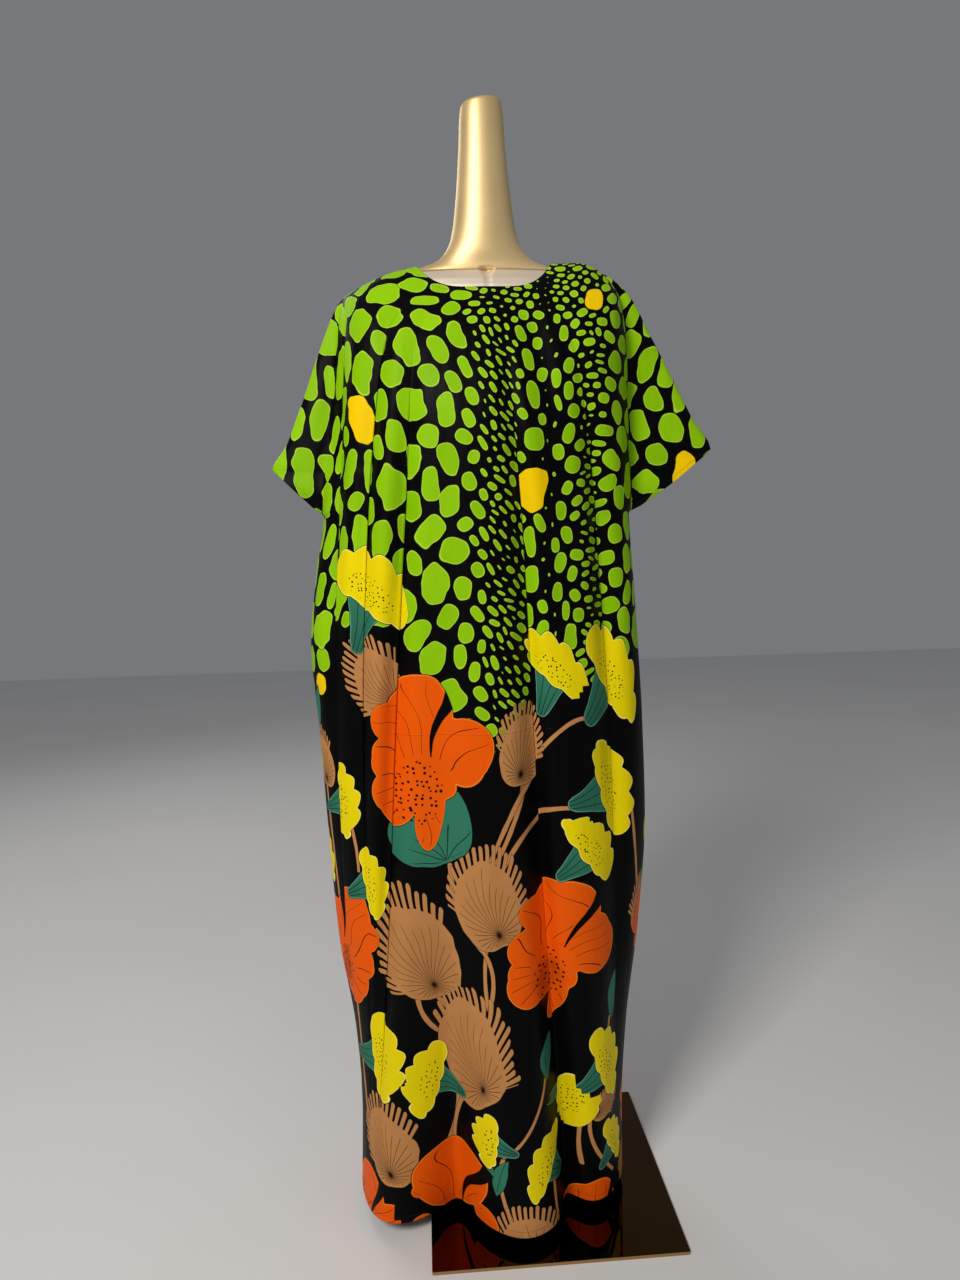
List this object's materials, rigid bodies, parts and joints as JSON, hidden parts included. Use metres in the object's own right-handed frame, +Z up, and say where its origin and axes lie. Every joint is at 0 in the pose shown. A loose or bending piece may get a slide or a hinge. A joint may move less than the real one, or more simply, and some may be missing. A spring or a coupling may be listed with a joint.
{
  "type": "draped robe on a limbless dress form",
  "caption": "Long, loose printed robe with short sleeves cut in one with the body, hanging on a limbless dress form that stands on a pole and a flat square plate.",
  "frame": {"origin": "on the underside of the stand's plate, straight below the pole's axis", "axes": "+Z up, -Y out of the robe's front, +X to the right of somebody who looks at the front"},
  "size_m": [0.6896, 0.388, 1.735],
  "materials": {
    "printed_cloth": "smooth woven viscose with a soft sheen, printed with leaf-green spots and with orange, yellow and tan flowers on black",
    "printed_cloth_back": "the same printed cloth as the front",
    "gold_lacquer": "satin metallic gold lacquer on a moulded shell",
    "polished_steel": "polished",
    "bronze_mirror": "mirror-polished dark bronze plate with a bright edge"
  },
  "bodies": {
    "root": {"robe_front": "printed_cloth", "robe_back": "printed_cloth_back", "form_body": "gold_lacquer", "pole_flange": "polished_steel", "pole": "polished_steel", "pole_collar": "polished_steel", "stand_plate": "bronze_mirror"}
  },
  "joints": []
}
